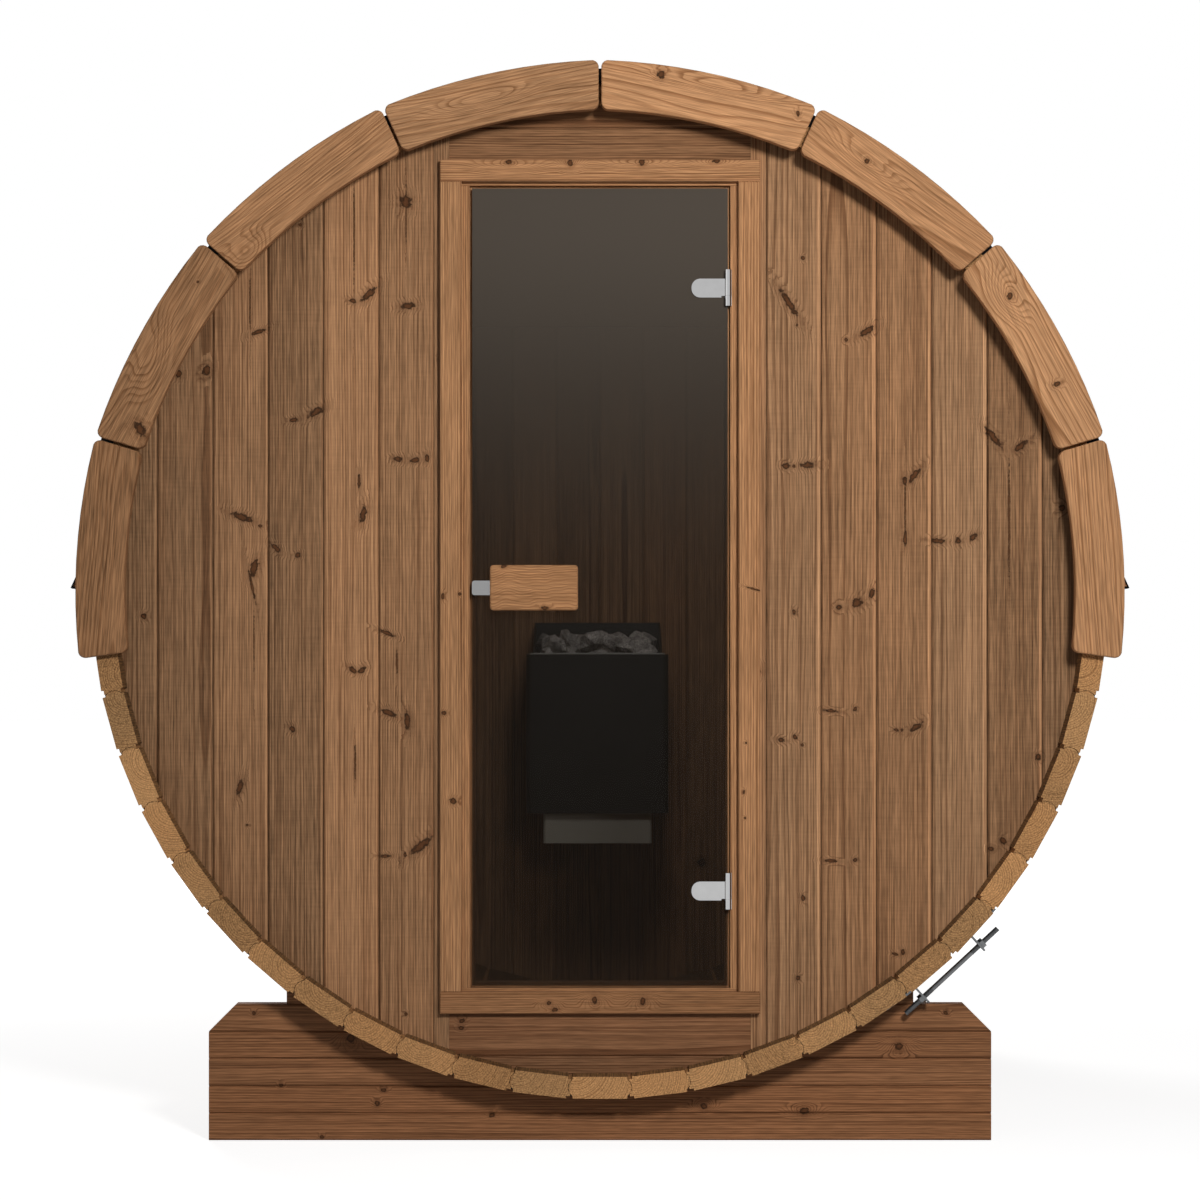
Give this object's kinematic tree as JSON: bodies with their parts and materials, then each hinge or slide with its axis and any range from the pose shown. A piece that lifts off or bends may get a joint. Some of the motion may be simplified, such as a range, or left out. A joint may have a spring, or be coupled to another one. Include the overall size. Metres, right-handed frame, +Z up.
{
  "type": "barrel sauna",
  "caption": "Barrel-shaped wooden sauna cabin of hooped staves on two cradles, with boarded ends, a hinged glass door, black roofing and a wall heater.",
  "frame": {"origin": "on the ground, under the middle of the barrel's length and width", "axes": "+X to the right seen from the door side, +Y from the door end to the back, +Z up"},
  "size_m": [2.0276, 1.812, 2.0778],
  "materials": {
    "stave_wood": "heat-treated softwood, brushed",
    "wall_wood": "heat-treated softwood boards",
    "trim_wood": "heat-treated softwood, planed",
    "handle_wood": "sanded",
    "cradle_wood": "heat-treated softwood boards",
    "tinted_glass": "bronze tinted",
    "satin_metal": "satin",
    "zinc_steel": "zinc plated",
    "black_strap": "black coated",
    "black_roofing": "granulated bitumen",
    "black_flashing": "black coated",
    "heater_steel": "dark enamel",
    "heater_grey": "grey enamel",
    "sauna_stone": "rough stone"
  },
  "bodies": {
    "cabin": {"bottom_stave": "stave_wood", "top_stave": "stave_wood", "lower_left_staves": "stave_wood", "side_left_staves": "stave_wood", "upper_left_staves": "stave_wood", "lower_right_staves": "stave_wood", "side_right_staves": "stave_wood", "upper_right_staves": "stave_wood", "front_wall_left": "wall_wood", "front_wall_right": "wall_wood", "header_boards": "wall_wood", "sill_boards": "wall_wood", "door_posts": "wall_wood", "back_wall_left": "wall_wood", "back_wall_right": "wall_wood", "latch_jamb": "trim_wood", "hinge_jamb": "trim_wood", "head_jamb": "trim_wood", "sill_jamb": "trim_wood", "left_casing": "trim_wood", "right_casing": "trim_wood", "head_casing": "trim_wood", "sill_casing": "trim_wood", "front_fascia": "trim_wood", "rear_fascia": "trim_wood", "drip_battens": "trim_wood", "front_cradle": "cradle_wood", "rear_cradle": "cradle_wood", "hinge_pins": "satin_metal", "clamp_plates": "zinc_steel", "clamp_rods": "zinc_steel", "hoops": "black_strap", "roof_left": "black_roofing", "roof_right": "black_roofing", "ridge_cap": "black_roofing", "edge_flashings": "black_flashing", "heater_jacket": "heater_steel", "heater_bracket": "heater_steel", "heater_control_box": "heater_grey", "heater_stones": "sauna_stone"},
    "door": {"door_glass": "tinted_glass", "outer_handle": "handle_wood", "inner_handle": "handle_wood", "door_catch": "satin_metal", "hinge_leaves": "satin_metal"}
  },
  "joints": [
    {"name": "door_hinge", "type": "hinge", "parent": "cabin", "child": "door", "pos_m": [0.247, -0.832, 1.0675], "axis": [0, 0, 1], "range_deg": [0, 110]}
  ]
}
